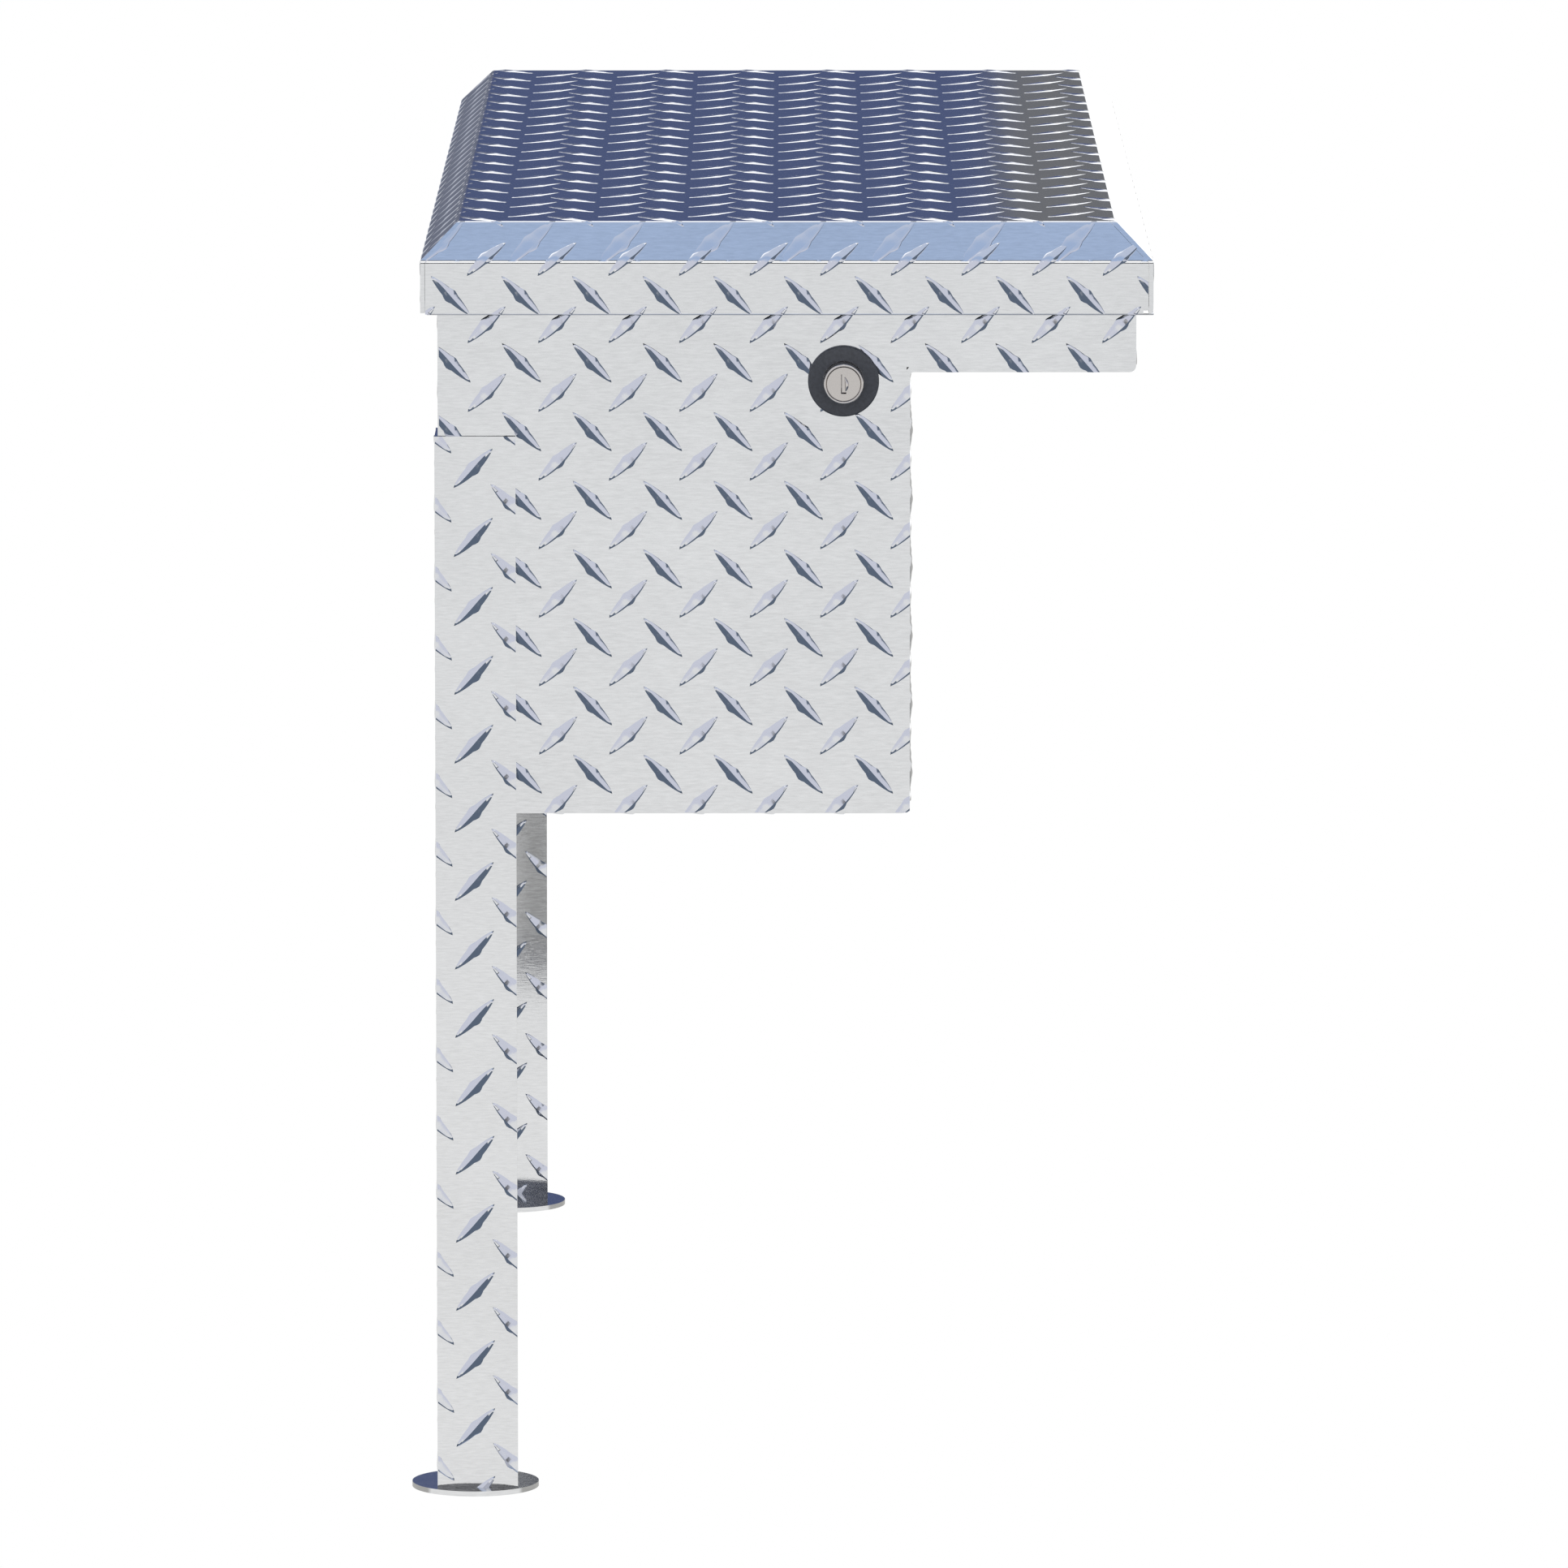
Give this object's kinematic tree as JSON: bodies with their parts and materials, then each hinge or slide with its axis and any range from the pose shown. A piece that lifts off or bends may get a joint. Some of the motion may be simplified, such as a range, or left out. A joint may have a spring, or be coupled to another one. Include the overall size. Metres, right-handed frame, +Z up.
{
  "type": "side rail tool box on legs",
  "caption": "Tread-plate storage box, L-shaped in end view: its overhang rests on a side rail, legs with round feet stand on the floor, and a chamfered hinged lid has a keyed push-button lock.",
  "frame": {"origin": "bottom centre of the bounding box, on the floor under the feet", "axes": "+Z up, +Y along the box's length away from the lock end, +X towards the overhang that rests on the rail"},
  "size_m": [0.3352, 0.848, 0.5787],
  "materials": {
    "tread_plate": "bright rolled tread plate with a fine grain",
    "plain_aluminium": "mill finish",
    "zinc_steel": "zinc plated",
    "spring_steel": "bright drawn wire",
    "cast_zinc": "die-cast zinc, plain",
    "satin_nickel": "satin nickel",
    "black_bezel": "smooth black",
    "seal_rubber": "foam rubber"
  },
  "bodies": {
    "box": {"body_wrap": "tread_plate", "end_panel_near": "tread_plate", "end_panel_far": "tread_plate", "rim_seal": "seal_rubber", "leg_near": "tread_plate", "leg_far": "tread_plate", "foot_near": "tread_plate", "foot_far": "tread_plate", "hinge_leaf_body": "plain_aluminium", "hinge_pin": "zinc_steel", "hinge_rivets_body": "plain_aluminium", "lock_bezel": "black_bezel", "lock_housing": "cast_zinc", "lock_nut": "zinc_steel", "button_spring": "spring_steel", "latch_bracket": "zinc_steel", "pawl_pin": "zinc_steel", "pawl_spring": "spring_steel"},
    "lid": {"lid_skin": "tread_plate", "lid_end_near": "tread_plate", "lid_end_far": "tread_plate", "lid_stiffener": "plain_aluminium", "hinge_leaf_lid": "plain_aluminium", "hinge_rivets_lid": "plain_aluminium", "striker_plate": "zinc_steel", "striker_loop": "zinc_steel"},
    "button": {"push_button": "satin_nickel"},
    "plug": {"key_plug": "satin_nickel", "key_shutter": "satin_nickel"},
    "pawl": {"latch_pawl": "zinc_steel"}
  },
  "joints": [
    {"name": "lid_hinge", "type": "hinge", "parent": "box", "child": "lid", "pos_m": [-0.15687, 0.00133, 0.5407], "axis": [0, -1, 0], "range_deg": [0, 90]},
    {"name": "button_press", "type": "slide", "parent": "box", "child": "button", "axis": [0, 1, 0], "range_m": [0, 0.006], "stiffness_N_per_m": 700, "springref_m": -0.002, "deforming": ["button_spring"]},
    {"name": "key_turn", "type": "hinge", "parent": "button", "child": "plug", "pos_m": [0.02848, -0.41868, 0.5075], "axis": [0, 1, 0], "range_deg": [0, 90]},
    {"name": "pawl_rock", "type": "hinge", "parent": "box", "child": "pawl", "pos_m": [0.02848, -0.38467, 0.5331], "axis": [1, 0, 0], "range_deg": [0, 13.5]}
  ],
  "couplings": [
    {"joint": "pawl_rock", "follows": "button_press", "rad_per_m": 39}
  ]
}
